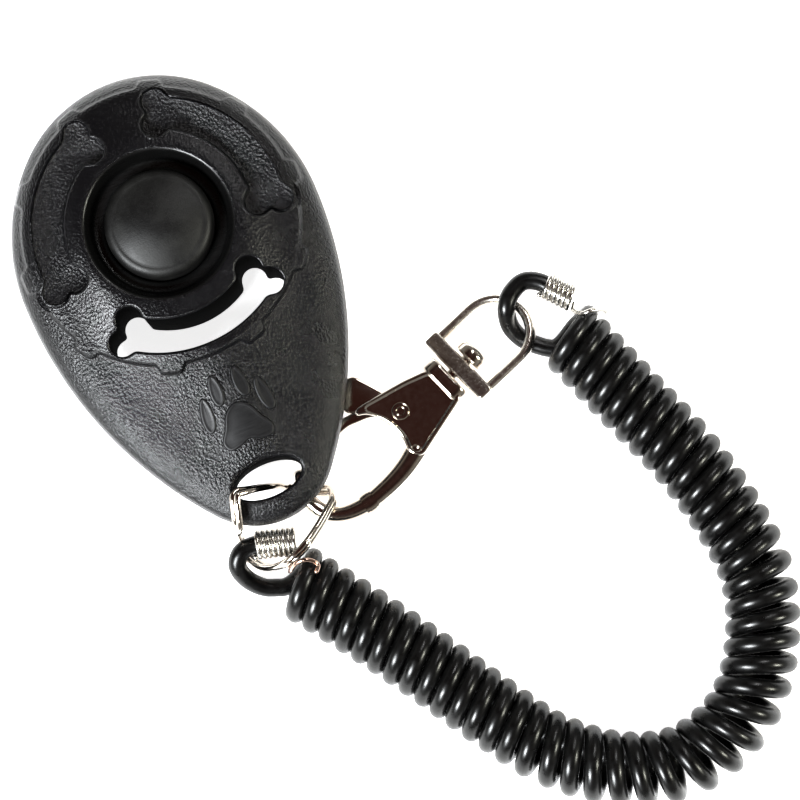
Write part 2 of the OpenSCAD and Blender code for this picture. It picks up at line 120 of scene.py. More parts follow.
# Not as in part.scad: ARM_ROUTE, DISH_OUTLINE, GATE_Z, GATE_ARM and GATE_TAB.
ARM_ROUTE = [
    (-9.6, -4.2), (-12.6, -4.9), (-16.0, -5.1), (-19.6, -4.8), (-22.6, -3.7), (-24.4, -1.8), (-24.9, 0.6),
    (-24.3, 2.8), (-23.4, 4.2)]
BODY_OUTLINE = [
    (-1, 2.7), (-4.6, 3.9), (-11.8, 5.6), (-12.6, 4.8), (-11.2, 4.0), (-10.4, 2.6), (-9.9, 0.6),
    (-9.9, -1.6), (-10.8, -4.0), (-9.6, -5.5), (-7.6, -5.0), (0, -3.2)]
POCKET_OUTLINE = [(-3.0, 1.9), (-5.4, 6.4), (-14, 8), (-14, -1.9), (-5.4, -2.6), (-3.0, -1.4)]
DISH_OUTLINE = [
    (-1.3, 1.9), (-4.6, 3.1), (-10.9, 4.7), (-10.5, 3.6), (-9.7, 2.2), (-9.2, 0.5), (-9.2, -1.7),
    (-9.9, -3.9), (-9.3, -4.6), (-7.7, -4.2), (-1.0, -2.6)]
DISH_DEPTH = 0.25
BODY_Z = (0.5, 4.4)
GATE_Z = (1.85, 3.15)
POCKET_Z = (1.65, 3.25)
RIVET_AT = (-7.6, 1.1)
GATE_ARM = [
    (-7.6, 2.6), (-11.6, 5.2), (-14.4, 6.1), (-22.2, 6.0), (-22.5, 4.6), (-14.2, 4.6), (-10.9, 3.3),
    (-9.4, 0.9), (-8.4, -0.4)]
GATE_TAB = [(-6.6, 2.4), (-8.9, 9.2), (-11.0, 9.7), (-12.9, 9.2), (-13.2, 6.0), (-9.6, 3.4)]


# ---- camera ----
def make_camera():
    """The photograph's view: almost straight down, with the tail of the case to the lower right."""
    target = np.array([20.5, -23.2, 7.0])
    distance, span, sensor = 560.0, 107.93, 36.0
    spin, pitch, yaw = math.radians(23.0), math.radians(4.5), math.radians(1.3)
    right = np.array([math.cos(spin), -math.sin(spin), 0])
    up = np.array([math.sin(spin), math.cos(spin), 0])
    back = UP * math.cos(pitch) - up * math.sin(pitch)
    back = back * math.cos(yaw) + right * math.sin(yaw)
    side = np.cross(up, back)
    side /= np.linalg.norm(side)
    high = np.cross(back, side)
    place = (target + back * distance) * MM
    data = bpy.data.cameras.new("camera")
    data.sensor_width = sensor
    data.lens = sensor * distance / span
    data.clip_end = 10
    camera = bpy.data.objects.new("camera", data)
    rows = [[side[i], high[i], back[i], place[i]] for i in range(3)]
    camera.matrix_world = Matrix(rows + [[0, 0, 0, 1]])
    bpy.context.scene.collection.objects.link(camera)
    bpy.context.scene.camera = camera


make_camera()


# ---- materials ----
def principled(name, color, roughness, metallic=0.0, **sockets):
    mat = bpy.data.materials.new(name)
    mat.use_nodes = True
    shader = mat.node_tree.nodes["Principled BSDF"]
    shader.inputs["Base Color"].default_value = (*color, 1)
    shader.inputs["Roughness"].default_value = roughness
    shader.inputs["Metallic"].default_value = metallic
    for key, value in sockets.items():
        shader.inputs[key.replace("_", " ")].default_value = value
    return mat


def texture(mat, kind, scale, stretch=(1, 1, 1), **settings):
    """A texture node on object coordinates in metres; returns its main output."""
    nodes, links = mat.node_tree.nodes, mat.node_tree.links
    coords = nodes.new("ShaderNodeTexCoord")
    mapping = nodes.new("ShaderNodeMapping")
    mapping.inputs["Scale"].default_value = stretch
    tex = nodes.new(kind)
    tex.inputs["Scale"].default_value = scale
    for key, value in settings.items():
        tex.inputs[key.replace("_", " ")].default_value = value
    links.new(coords.outputs["Object"], mapping.inputs["Vector"])
    links.new(mapping.outputs["Vector"], tex.inputs["Vector"])
    return tex.outputs[0]


def remap(mat, value, low, high, to_low, to_high):
    node = mat.node_tree.nodes.new("ShaderNodeMapRange")
    for key, v in (("From Min", low), ("From Max", high), ("To Min", to_low), ("To Max", to_high)):
        node.inputs[key].default_value = v
    mat.node_tree.links.new(value, node.inputs["Value"])
    return node.outputs["Result"]


def vary(mat, socket, value, low, high, to_low, to_high):
    """Drives a shader socket between two values by a texture."""
    shader = mat.node_tree.nodes["Principled BSDF"]
    mat.node_tree.links.new(remap(mat, value, low, high, to_low, to_high), shader.inputs[socket])


def tint(mat, value, low, high, dark, light):
    """Blends the base colour between two colours by a texture."""
    nodes, links = mat.node_tree.nodes, mat.node_tree.links
    ramp = nodes.new("ShaderNodeValToRGB")
    ramp.color_ramp.elements[0].position = low
    ramp.color_ramp.elements[1].position = high
    ramp.color_ramp.elements[0].color = (*dark, 1)
    ramp.color_ramp.elements[1].color = (*light, 1)
    links.new(value, ramp.inputs["Fac"])
    links.new(ramp.outputs["Color"], nodes["Principled BSDF"].inputs["Base Color"])


def bump(mat, layers):
    """Chains bump nodes: each layer is a height, a strength and a distance in millimetres."""
    nodes, links = mat.node_tree.nodes, mat.node_tree.links
    normal = None
    for height, strength, distance in layers:
        node = nodes.new("ShaderNodeBump")
        node.inputs["Strength"].default_value = strength
        node.inputs["Distance"].default_value = distance * MM
        links.new(height, node.inputs["Height"])
        if normal:
            links.new(normal, node.inputs["Normal"])
        normal = node.outputs["Normal"]
    links.new(normal, nodes["Principled BSDF"].inputs["Normal"])


def grained_plastic(name, depth):
    """Satin black ABS with a spark-eroded leather grain."""
    mat = principled(name, (0.004, 0.004, 0.005), 0.24, Specular_IOR_Level=0.5)
    cells = texture(mat, "ShaderNodeTexVoronoi", 3000, stretch=(1, 0.75, 1), Randomness=1.0)
    fine = texture(mat, "ShaderNodeTexNoise", 6500, Detail=3.0, Roughness=0.65)
    broad = texture(mat, "ShaderNodeTexNoise", 240, Detail=4.0)
    bump(mat, [(cells, depth, 0.08), (fine, depth, 0.06)])
    vary(mat, "Roughness", broad, 0.3, 0.7, 0.2, 0.29)
    tint(mat, fine, 0.35, 0.7, (0.003, 0.003, 0.004), (0.007, 0.007, 0.008))
    return mat


def smooth_plastic(name, roughness, color=(0.005, 0.005, 0.005)):
    """Polished tool face: nearly smooth, with faint ripples and rub marks."""
    mat = principled(name, color, roughness, Specular_IOR_Level=0.5)
    ripple = texture(mat, "ShaderNodeTexNoise", 700, Detail=4.0)
    rubs = texture(mat, "ShaderNodeTexNoise", 420, stretch=(1, 9, 1), Detail=6.0, Roughness=0.7)
    bump(mat, [(ripple, 0.25, 0.02), (rubs, 0.2, 0.02)])
    vary(mat, "Roughness", rubs, 0.35, 0.65, roughness - 0.05, roughness + 0.08)
    return mat


def button_plastic():
    mat = principled("button_plastic", (0.006, 0.006, 0.006), 0.5, Specular_IOR_Level=0.5)
    cloud = texture(mat, "ShaderNodeTexNoise", 260, Detail=7.0, Roughness=0.65)
    scratch = texture(mat, "ShaderNodeTexNoise", 330, stretch=(1, 14, 1), Detail=8.0, Roughness=0.75)
    dust = texture(mat, "ShaderNodeTexNoise", 4200, Detail=2.0)
    bump(mat, [(scratch, 0.5, 0.03), (dust, 0.6, 0.02), (cloud, 0.4, 0.05)])
    vary(mat, "Roughness", cloud, 0.35, 0.7, 0.42, 0.58)
    tint(mat, cloud, 0.4, 0.75, (0.004, 0.004, 0.004), (0.012, 0.012, 0.011))
    return mat


def cord_plastic():
    mat = principled("cord_plastic", (0.003, 0.003, 0.003), 0.3, Specular_IOR_Level=0.5)
    streak = texture(mat, "ShaderNodeTexNoise", 900, Detail=3.0)
    pores = texture(mat, "ShaderNodeTexNoise", 5200, Detail=2.0)
    bump(mat, [(streak, 0.12, 0.03), (pores, 0.12, 0.012)])
    vary(mat, "Roughness", streak, 0.3, 0.7, 0.25, 0.35)
    tint(mat, streak, 0.3, 0.75, (0.002, 0.002, 0.002), (0.005, 0.005, 0.005))
    return mat


def plated(name, color, roughness, wear=0.1):
    """Bright nickel plate or drawn wire, with soft waves and hazed patches."""
    mat = principled(name, color, roughness, metallic=1.0)
    waves = texture(mat, "ShaderNodeTexNoise", 420, Detail=2.0)
    haze = texture(mat, "ShaderNodeTexNoise", 1500, Detail=6.0, Roughness=0.7)
    bump(mat, [(waves, 0.2, 0.05), (haze, wear, 0.01)])
    vary(mat, "Roughness", haze, 0.35, 0.75, roughness * 0.85, roughness * 1.3)
    shade = tuple(c * 0.93 for c in color)
    tint(mat, haze, 0.3, 0.6, shade, color)
    return mat


CASE = grained_plastic("case_plastic", 0.9)
FACE = grained_plastic("case_face_plastic", 0.62)
RECESS = smooth_plastic("recess_plastic", 0.3)
FLOOR_PLASTIC = grained_plastic("slot_floor_plastic", 1.0)
PAD = smooth_plastic("paw_plastic", 0.45, (0.007, 0.007, 0.008))
BUTTON = button_plastic()
CORD = cord_plastic()
NICKEL = plated("nickel", (0.72, 0.665, 0.60), 0.15)
WIRE = plated("wire_steel", (0.72, 0.70, 0.66), 0.24)
COPPERED = plated("tinted_wire", (0.62, 0.46, 0.38), 0.2)
SPRING_STEEL = plated("spring_steel", (0.62, 0.63, 0.65), 0.25, 0.3)
ZINC = plated("screw_steel", (0.55, 0.55, 0.56), 0.32, 0.4)
INNER = smooth_plastic("inner_plastic", 0.5)
SATIN = plated("satin_nickel", (0.84, 0.80, 0.74), 0.24, 0.06)
# Painted shade: the walls of the through slot and the lanyard hole get a dead-black plastic that hardly
# reflects, darker than the case they belong to.
SLOT_WALL_SHADE = principled("slot_wall_shade_plastic", (0.003, 0.003, 0.003), 0.8, Specular_IOR_Level=0.02)
bump(SLOT_WALL_SHADE, [(texture(SLOT_WALL_SHADE, "ShaderNodeTexNoise", 3000, Detail=3.0), 0.4, 0.03)])


# ---- mesh tools ----
def blender_mesh(name, parts):
    """A Blender mesh, in metres, from (points, faces) parts in millimetres."""
    points, faces = join(parts)
    mesh = bpy.data.meshes.new(name)
    mesh.from_pydata((points * MM).tolist(), [], faces)
    return mesh


def part_of(mesh):
    """The other way round: a (points, faces) part in millimetres."""
    points = np.array([v.co for v in mesh.vertices]) / MM
    return points, [tuple(f.vertices) for f in mesh.polygons]


def mesh_object(name, parts, mats, body, replaces=(), sharp=38):
    """One object from (points, faces) parts in millimetres, riding on a body."""
    return finish_object(name, blender_mesh(name, parts), mats, body, replaces, sharp)


def finish_object(name, mesh, mats, body, replaces=(), sharp=38):
    mesh.materials.clear()
    for mat in mats:
        mesh.materials.append(mat)
    mesh.polygons.foreach_set("use_smooth", [True] * len(mesh.polygons))
    mesh.set_sharp_from_angle(angle=math.radians(sharp))
    obj = bpy.data.objects.new(name, mesh)
    bpy.context.scene.collection.objects.link(obj)
    if body:
        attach(obj, body)
    if replaces:
        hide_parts(*replaces)
    return obj


def join(parts):
    points, faces, base = [], [], 0
    for p, f in parts:
        points.append(np.asarray(p, float).reshape(-1, 3))
        faces += [tuple(i + base for i in face) for face in f]
        base += len(points[-1])
    return np.vstack(points), faces


def grid_faces(rows, cols, loop=False):
    """Quads of a grid whose columns go all round; loop joins the last row to the first."""
    out = []
    for i in range(rows if loop else rows - 1):
        a, b = i * cols, ((i + 1) % rows) * cols
        out += [(a + j, a + (j + 1) % cols, b + (j + 1) % cols, b + j) for j in range(cols)]
    return out


def loft(rings, caps=True, loop=False):
    """A solid through rings of equal counts, ordered so that its faces look outwards."""
    rows, cols = len(rings), len(rings[0])
    faces = grid_faces(rows, cols, loop)
    if caps and not loop:
        faces.append(tuple(range(cols - 1, -1, -1)))
        faces.append(tuple(range((rows - 1) * cols, rows * cols)))
    return np.vstack(rings), faces


def unit(v):
    return v / np.linalg.norm(v, axis=-1, keepdims=True)


def spline(points, steps, closed=False):
    """A smooth curve through the points."""
    p = np.asarray(points, float)
    n = len(p)
    if closed:
        q = np.vstack([p[-1:], p, p[:2]])
    else:
        q = np.vstack([2 * p[0] - p[1], p, 2 * p[-1] - p[-2]])
    t = (np.arange(steps) / steps)[:, None]
    out = []
    for i in range(1, n + 1 if closed else n):
        a, b, c, d = q[i - 1], q[i], q[i + 1], q[i + 2]
        out.append(0.5 * (2 * b + (c - a) * t + (2 * a - 5 * b + 4 * c - d) * t ** 2
                          + (3 * b - a - 3 * c + d) * t ** 3))
    if not closed:
        out.append(p[-1:])
    return np.vstack(out)


def frames(path, closed=False):
    """Tangent and two side vectors along a path, turned as little as possible."""
    if closed:
        tangent = unit(np.roll(path, -1, 0) - np.roll(path, 1, 0))
    else:
        tangent = unit(np.gradient(path, axis=0))
    side = np.cross(tangent[0], UP if abs(tangent[0][2]) < 0.9 else [1.0, 0, 0])
    sides = []
    for t in tangent:
        side = side - t * np.dot(side, t)
        side = side / np.linalg.norm(side)
        sides.append(side)
    sides = np.array(sides)
    if closed:
        ahead = sides[-1] - tangent[0] * np.dot(sides[-1], tangent[0])
        slip = math.atan2(np.dot(np.cross(ahead, sides[0]), tangent[0]), np.dot(ahead, sides[0]))
        turn = slip * np.arange(len(path)) / len(path)
        over = np.cross(tangent, sides)
        sides = np.cos(turn)[:, None] * sides + np.sin(turn)[:, None] * over
    return tangent, sides, np.cross(tangent, sides)


def tube(path, radius, sides=14, closed=False, flat=1.0, ends=True):
    """A round tube along a path, with domed ends; flat scales its second axis."""
    path = np.asarray(path, float)
    radius = np.broadcast_to(np.asarray(radius, float), (len(path),))
    tangent, u, v = frames(path, closed)
    turn = TAU * np.arange(sides) / sides
    rings = []
    for p, r, a, b in zip(path, radius, u, v):
        rings.append(p + r * (np.cos(turn)[:, None] * a + flat * np.sin(turn)[:, None] * b))
    if ends and not closed:
        dome = [math.radians(a) for a in (72, 45, 20)]
        head = [path[0] - tangent[0] * radius[0] * math.sin(a) * 0.8
                + (rings[0] - path[0]) * math.cos(a) for a in dome]
        tail = [path[-1] + tangent[-1] * radius[-1] * math.sin(a) * 0.8
                + (rings[-1] - path[-1]) * math.cos(a) for a in reversed(dome)]
        rings = head + rings + tail
    return loft(rings, caps=not closed, loop=closed)


def revolve(profile, count=96):
    """A solid of revolution about Z from (radius, height) points, listed from bottom to top."""
    turn = TAU * np.arange(count) / count
    rings = [np.c_[r * np.cos(turn), r * np.sin(turn), np.full(count, z)] for r, z in profile]
    return loft(rings)


def placed(part, at=(0, 0, 0), turn=None):
    points = np.asarray(part[0], float)
    if turn is not None:
        points = points @ np.asarray(turn).T
    return points + np.asarray(at, float), part[1]


def in_clasp(part, z=0.0, tilt=0.0):
    """From the clasp's frame, x along its axis and the swivel at its origin, to the model's."""
    c, s = math.cos(CLASP_ANGLE), math.sin(CLASP_ANGLE)
    a, b = math.cos(tilt), math.sin(tilt)
    lean = np.array([[1, 0, 0], [0, a, -b], [0, b, a]])
    turn = np.array([[c, -s, 0], [s, c, 0], [0, 0, 1]]) @ lean
    return placed(part, CLASP_AT + UP * z, turn)


def arc_points(centre, r, a0, a1, n):
    a = a0 + (a1 - a0) * np.arange(n) / n
    return np.c_[centre[0] + r * np.cos(a), centre[1] + r * np.sin(a)]


def round_corners(points, r):
    """A closed outline with each corner rounded off by a curve that starts r away from it."""
    p = np.asarray(points, float)
    out = []
    for a, b, c in zip(np.roll(p, 1, 0), p, np.roll(p, -1, 0)):
        before, after = a - b, c - b
        start = b + before * min(r / np.linalg.norm(before), 0.45)
        end = b + after * min(r / np.linalg.norm(after), 0.45)
        for t in np.linspace(0, 1, 7):
            out.append((1 - t) ** 2 * start + 2 * t * (1 - t) * b + t * t * end)
    return np.array(out)


def evenly(points, step):
    """A closed outline resampled at an even step."""
    p = np.vstack([points, points[:1]])
    along = np.r_[0, np.cumsum(np.linalg.norm(np.diff(p, axis=0), axis=1))]
    at = np.linspace(0, along[-1], max(12, int(along[-1] / step)), endpoint=False)
    return np.c_[np.interp(at, along, p[:, 0]), np.interp(at, along, p[:, 1])]


def counter_clockwise(p):
    q = np.roll(p, -1, 0)
    area = np.sum(p[:, 0] * q[:, 1] - q[:, 0] * p[:, 1])
    return p if area > 0 else p[::-1]


def inset(p, amount):
    """A counter-clockwise outline moved inwards along its own normals."""
    t = unit(np.roll(p, -1, 0) - np.roll(p, 1, 0))
    return p + amount * np.c_[-t[:, 1], t[:, 0]]


def level(p, z):
    return np.c_[p, np.broadcast_to(z, (len(p),))]


def plate(outline, z0, z1, edge, step=0.2, corner=1.2):
    """A cast plate with rounded edges."""
    p = counter_clockwise(evenly(round_corners(outline, corner), step))
    angles = [math.radians(a) for a in (0, 30, 60, 90)]
    low = [level(inset(p, edge * (1 - math.cos(a))), z0 + edge * (1 - math.sin(a))) for a in reversed(angles)]
    high = [level(inset(p, edge * (1 - math.cos(a))), z1 - edge * (1 - math.sin(a))) for a in angles]
    return loft(low + high)


def prism(outline, z0, z1):
    p = counter_clockwise(np.asarray(outline, float))
    return loft([level(p, z0), level(p, z1)])


def cut_and_join(name, base, cuts=(), adds=(), within=()):
    """A mesh of base less the cuts, then with the adds, and then kept only inside the last parts."""
    def temporary(part):
        obj = bpy.data.objects.new("temporary", blender_mesh("temporary", [part]))
        bpy.context.scene.collection.objects.link(obj)
        return obj

    body = temporary(base)
    tools = []
    for operation, parts in (("DIFFERENCE", cuts), ("UNION", adds), ("INTERSECT", within)):
        for part in parts:
            tool = temporary(part)
            tools.append(tool)
            modifier = body.modifiers.new(operation, "BOOLEAN")
            modifier.operation = operation
            modifier.solver = "MANIFOLD"
            modifier.object = tool
    bpy.context.view_layer.update()
    evaluated = body.evaluated_get(bpy.context.evaluated_depsgraph_get())
    mesh = bpy.data.meshes.new_from_object(evaluated)
    mesh.name = name
    for obj in [body] + tools:
        bpy.data.objects.remove(obj)
    return mesh


# ---- strap ----
def coil_axis():
    """The coil's centre line, resampled finely, with its direction and its bend."""
    p = spline(np.array(COIL_ROUTE) / MM, 60)
    along = np.r_[0, np.cumsum(np.linalg.norm(np.diff(p, axis=0), axis=1))]
    at = np.arange(0, along[-1], 0.1)
    p = np.c_[np.interp(at, along, p[:, 0]), np.interp(at, along, p[:, 1])]
    t = unit(np.gradient(p, axis=0))
    bend = np.linalg.norm(np.gradient(t, axis=0), axis=1) / 0.1
    return p, t, np.convolve(np.pad(bend, 20, "edge"), np.ones(41) / 41, "valid")


def coil_helix(per_turn=34):
    """A right-handed helix whose turns touch on the inside of each bend."""
    p, t, bend = coil_axis()
    tight = np.cumsum(0.1 * (1 - np.minimum(bend * COIL_R, 0.5)))
    turns = round(tight[-1] / TURN_PITCH)
    share = tight / tight[-1]
    turn = np.linspace(0, 1, turns * per_turn)
    turn = turn[3:-3]
    centre = np.c_[np.interp(turn, share, p[:, 0]), np.interp(turn, share, p[:, 1])]
    ahead = unit(np.c_[np.interp(turn, share, t[:, 0]), np.interp(turn, share, t[:, 1])])
    side = np.c_[-ahead[:, 1], ahead[:, 0]]
    phase = TAU * turns * turn - math.pi / 2
    sway = np.cos(phase)[:, None]
    flat = centre + COIL_R * sway * side - TURN_LEAN * sway * ahead
    return np.c_[flat, COIL_Z + COIL_R * np.sin(phase)]


def bridge(before, after, count=14):
    """A smooth curve from the end of one path to the start of another."""
    a, b = before[-1], after[0]
    size = np.linalg.norm(b - a)
    leave, arrive = unit(a - before[-2]) * size, unit(after[1] - b) * size
    t = np.linspace(0, 1, count)[1:-1, None]
    return ((1 + 2 * t) * (1 - t) ** 2 * a + t * (1 - t) ** 2 * leave
            + t * t * (3 - 2 * t) * b + t * t * (t - 1) * arrive)


def strap_path():
    """From the lower ferrule round its loop, along the coil and round the upper loop to its ferrule."""
    steps = 8
    lower = spline(np.array(LOWER_ROUTE) / MM, steps)[:-steps]
    upper = spline(np.array(UPPER_ROUTE) / MM, steps)[steps:]
    helix = coil_helix()
    return np.vstack([lower, bridge(lower, helix), helix, bridge(helix, upper), upper])


def wound(ends, radius, wire, turns, per_turn=28):
    """A close winding from one end to the other, whose wire starts and stops its own radius inside them."""
    a, b = np.asarray(ends, float)
    axis = unit(b - a)
    u = unit(np.cross(axis, UP))
    v = np.cross(axis, u)
    turn = np.linspace(0, turns, int(turns * per_turn))
    angle = TAU * turn[:, None]
    spot = a + wire * axis + (b - a - 2 * wire * axis) * (turn / turns)[:, None]
    return spot + radius * (np.cos(angle) * u + np.sin(angle) * v)


def make_strap():
    """The cord, its centre line in millimetres, and the wire pieces at its ends."""
    path = strap_path()
    strap = mesh_object("strap_cord", [tube(path, CORD_R, 16)], [CORD], "strap",
                        ["coil_strap", "lower_end_loop", "upper_end_loop"])
    wires = [
        ("lower_ferrule_winding", tube(wound(LOWER_FERRULE, 1.7, 0.3, 8), 0.36, 10), WIRE, "lower_ferrule"),
        ("upper_ferrule_winding", tube(wound(UPPER_FERRULE, 1.62, 0.36, 6), 0.37, 10), WIRE, "upper_ferrule"),
        ("lower_tie_turn", tube(spline(LOWER_TIE, 10), 0.33, 10), COPPERED, "lower_tie_wire"),
        ("upper_tie_turn", tube(spline(UPPER_TIE, 10), 0.33, 10), WIRE, "upper_tie_wire")]
    pieces = []
    for name, part, mat, node in wires:
        pieces.append(mesh_object(name, [part], [mat], "strap", [node]))
    return strap, path, pieces


def make_ring():
    """A split ring: two turns of round wire side by side, which change places once."""
    lap = spline(RING_ROUTE, 12, closed=True)
    n = len(lap)
    lap = np.roll(lap, -round(0.16 * n), axis=0)     # so that the wire changes places under the case
    tangent = unit(np.roll(lap, -1, 0) - np.roll(lap, 1, 0))
    across = unit(np.cross(tangent, lap - lap.mean(0)))
    spots = np.arange(round(1.96 * n))
    swap = np.clip((spots / n - 0.9) / 0.14, 0, 1)
    offset = 0.45 * (1 - 2 * swap * swap * (3 - 2 * swap))
    path = lap[spots % n] + offset[:, None] * across[spots % n]
    return mesh_object("split_ring", [tube(path, 0.45, 12)], [NICKEL], "ring", ["key_ring"])


# ---- clasp ----
def make_body():
    """The cast body: a sunk panel on its face, and a pocket for the gate and its spring."""
    body = plate(BODY_OUTLINE, *BODY_Z, 0.4, corner=0.9)
    dish = counter_clockwise(evenly(round_corners(DISH_OUTLINE, 0.7), 0.15))
    wide = inset(dish, -0.35)
    dish = loft([level(dish, BODY_Z[1] - DISH_DEPTH), level(wide, BODY_Z[1] + 0.05), level(wide, 5)])
    pocket = prism(POCKET_OUTLINE, *POCKET_Z)
    mesh = cut_and_join("clasp_body", in_clasp(body), [in_clasp(pocket), in_clasp(dish)])
    return finish_object("clasp_casting", mesh, [NICKEL], "clasp", ["clasp_body"])


def make_hook():
    """The hook's arm, which is thickest at its root, with three fine ridges round it."""
    flat = 0.85
    arm = level(spline(ARM_ROUTE, 8), ARM_Z)
    radius = 1.6 - 0.55 * np.minimum(np.linspace(0, 1, len(arm)) * 2.0, 1)
    ridge = int(0.36 * len(arm))
    parts = [tube(arm, radius, 20, flat=flat)]
    for i, r in ((ridge - 2, 1.38), (ridge - 1, 1.46), (ridge, 1.38)):
        parts.append(tube(arm[i:i + 3], r, 20, flat=0.75, ends=False))
    return mesh_object("clasp_hook", [in_clasp(part) for part in parts], [NICKEL], "clasp")


ALONG_CLASP = [[0, 0, 1], [0, 1, 0], [-1, 0, 0]]        # turns +Z to the clasp's own axis


def make_swivel():
    """The collar at the body's end and the stud that turns in it."""
    collar = mesh_object("swivel_collar", [in_clasp(collar_block(), SWIVEL_Z)], [NICKEL], "clasp")
    profile = [
        (0.02, 0.0), (0.9, 0.0), (0.9, 3.85), (1.95, 3.88), (2.25, 4.1), (2.28, 4.9), (2.1, 5.4),
        (1.6, 5.75), (0.8, 5.9), (0.02, 5.92)]
    stud = in_clasp(placed(revolve(profile, 40), turn=ALONG_CLASP), SWIVEL_Z)
    return [collar, mesh_object("swivel_pin", [stud], [NICKEL], "clasp", ["swivel_stud"])]


def make_rivet():
    """A tubular rivet with a rolled head."""
    profile = [
        (0.02, 0.5), (0.78, 0.5), (0.78, 4.05), (1.16, 4.12), (1.22, 4.3), (1.1, 4.5), (0.85, 4.58),
        (0.6, 4.5), (0.5, 4.3), (0.48, 3.7), (0.02, 3.65)]
    rivet = in_clasp(placed(revolve(profile, 36), (*RIVET_AT, 0)))
    return mesh_object("gate_pin", [rivet], [NICKEL], "clasp", ["gate_rivet"])


def make_spring():
    wire = 0.12
    ends = [(-5.75, 0.4, SWIVEL_Z), (-3.1, 0.4, SWIVEL_Z)]
    spring = in_clasp(tube(wound(ends, 0.42, wire, 6, 14), wire, 6))
    return mesh_object("gate_coil_spring", [spring], [SPRING_STEEL], "clasp", ["gate_spring"])


def make_clasp():
    return [make_body(), make_hook(), *make_swivel(), make_rivet(), make_spring()]


def collar_block():
    """A stadium block across the axis with rounded edges."""
    r = 2.1
    half = 3.7 - r
    right = arc_points((half, 0), r, -math.pi / 2, math.pi / 2, 20)
    left = arc_points((-half, 0), r, math.pi / 2, 3 * math.pi / 2, 20)
    p = counter_clockwise(evenly(np.vstack([right, left]), 0.3))
    stations = [
        (-1.5, 0.45), (-1.42, 0.2), (-1.2, 0.03), (-0.95, 0), (0.3, 0), (0.52, 0.05), (0.66, 0.2),
        (0.72, 0.45)]
    rings = []
    for x, amount in stations:
        q = inset(p, amount)
        rings.append(np.c_[np.full(len(q), x), q])
    return loft(rings)


def make_eye():
    """The D-shaped eye: a flat cross bar and a flattened wire bow."""
    tilt = -math.radians(14)
    half, bar_x, arc_x = 5.0, 2.5, 8.9
    bar = plate([(1.2, -5.8), (3.55, -5.8), (3.55, 5.8), (1.2, 5.8)], -1.25, 1.25, 0.3, corner=0.6)
    hole = placed(revolve([(1.0, -1.0), (1.0, 4.5)], 32), turn=ALONG_CLASP)
    legs = arc_points((arc_x, 0), half, -math.pi / 2, math.pi / 2, 30)
    path = np.vstack([[(bar_x, -half), (5.0, -half), (7.0, -half)], legs,
                      [(arc_x, half), (7.0, half), (5.0, half), (bar_x, half)]])
    bow = tube(level(path, 0), 0.72, 20, flat=1.28)
    mesh = cut_and_join("swivel_eye", in_clasp(bar, SWIVEL_Z, tilt), [in_clasp(hole, SWIVEL_Z, tilt)],
                        [in_clasp(bow, SWIVEL_Z, tilt)])
    return finish_object("swivel_bow", mesh, [SATIN], "eye", ["swivel_eye"])


def make_gate():
    """The sprung gate: an arm that closes the hook, a thumb tab and a hub with the rivet's hole."""
    hub = arc_points(RIVET_AT, 1.75, 0, TAU, 40)
    arm = plate(GATE_ARM, *GATE_Z, 0.3, corner=0.8)
    tab = plate(GATE_TAB, *GATE_Z, 0.3, corner=0.8)
    boss = plate(hub, GATE_Z[0] - 0.03, GATE_Z[1] + 0.03, 0.1, corner=0.05)
    hole = placed(revolve([(0.85, 0.0), (0.85, 5.0)], 32), (*RIVET_AT, 0))
    blank = cut_and_join("clasp_gate", in_clasp(arm), [], [in_clasp(tab), in_clasp(boss)])
    mesh = cut_and_join("clasp_gate", part_of(blank), [in_clasp(hole)])
    return finish_object("thumb_gate", mesh, [NICKEL], "gate", ["clasp_gate"])


# ---- case ----
def outline_radius(turn, amount):
    """Distance from the button's axis to the case's outline, moved inwards by some amount."""
    n = 80
    p = np.vstack([
        arc_points((HALF_W - SHOULDER_R, WIDE_Y), SHOULDER_R - amount, 0, HEAD_ANGLE, n),
        arc_points((0, HEAD_Y), HEAD_R - amount, HEAD_ANGLE, math.pi - HEAD_ANGLE, n),
        arc_points((SHOULDER_R - HALF_W, WIDE_Y), SHOULDER_R - amount, math.pi - HEAD_ANGLE, math.pi, n),
        arc_points((FLANK_R - HALF_W, WIDE_Y), FLANK_R - amount, math.pi, math.pi + FLANK_ANGLE, n),
        arc_points((0, TAIL_Y), TAIL_R - amount, math.pi + FLANK_ANGLE, TAU - FLANK_ANGLE, n),
        arc_points((HALF_W - FLANK_R, WIDE_Y), FLANK_R - amount, TAU - FLANK_ANGLE, TAU, n)])
    p = p - (0, BUTTON_Y)
    a = np.arctan2(p[:, 1], p[:, 0]) % TAU
    order = np.argsort(a)
    return np.interp(turn % TAU, a[order], np.hypot(p[:, 0], p[:, 1])[order], period=TAU)


def monotone(knots_r, knots_z, samples):
    """Smooth curves through the knots of each ray that never overshoot; arrays are knots by rays."""
    step = np.hypot(np.diff(knots_r, axis=0), np.diff(knots_z, axis=0))
    s = np.vstack([np.zeros(step.shape[1]), np.cumsum(step, axis=0)])
    out = []
    for k in (knots_r, knots_z):
        d = np.diff(k, axis=0) / step
        m = np.zeros_like(k)
        same = d[:-1] * d[1:] > 0
        w1 = 2 * step[1:] + step[:-1]
        w2 = step[1:] + 2 * step[:-1]
        with np.errstate(divide="ignore", invalid="ignore"):
            mean = (w1 + w2) / (w1 / d[:-1] + w2 / d[1:])
        m[1:-1] = np.where(same, mean, 0)
        m[0], m[-1] = d[0], d[-1]
        rows = []
        for u in np.linspace(0, 1, samples):
            at = u * s[-1]
            i = np.clip((s <= at).sum(0) - 1, 0, len(s) - 2)
            cols = np.arange(s.shape[1])
            h = step[i, cols]
            t = np.clip((at - s[i, cols]) / h, 0, 1)
            rows.append((1 + 2 * t) * (1 - t) ** 2 * k[i, cols] + t * (1 - t) ** 2 * h * m[i, cols]
                        + t * t * (3 - 2 * t) * k[i + 1, cols] + t * t * (t - 1) * h * m[i + 1, cols])
        out.append(np.array(rows))
    return out


